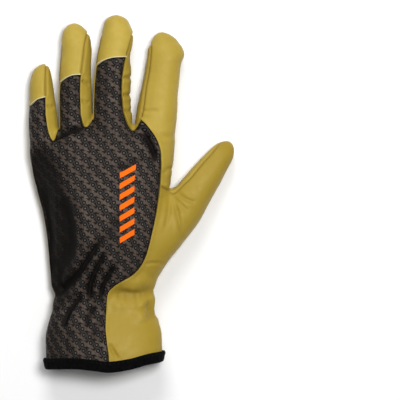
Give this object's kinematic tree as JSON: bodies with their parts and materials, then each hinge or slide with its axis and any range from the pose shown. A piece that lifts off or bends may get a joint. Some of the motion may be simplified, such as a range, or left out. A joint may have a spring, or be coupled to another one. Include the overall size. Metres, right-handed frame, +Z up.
{
  "type": "leather gardening glove",
  "caption": "Left-hand gardening glove with a leather palm, thumb and fingertip caps, a patterned fabric back with finger gussets, and a bound open cuff.",
  "frame": {"origin": "middle of the glove's footprint, on the surface it lies on, palm down", "axes": "+Y from the cuff to the fingertips, +X from the little finger's side to the thumb, +Z up out of the back of the hand"},
  "size_m": [0.1415, 0.245, 0.0382],
  "materials": {
    "leather": "soft golden tan grain leather, satin",
    "back_fabric": "matte charcoal knit with small grey rings and dots",
    "binding": "matte black bias tape"
  },
  "bodies": {
    "root": {"back_panel": "back_fabric", "cap_pinky": "leather", "cap_ring": "leather", "cap_middle": "leather", "index_back": "leather", "thumb_back": "leather", "gusset_pinky_ring": "leather", "gusset_ring_middle": "leather", "gusset_middle_index": "leather", "palm": "leather", "front_ring": "leather", "front_middle": "leather", "cuff_binding": "binding"}
  },
  "joints": []
}
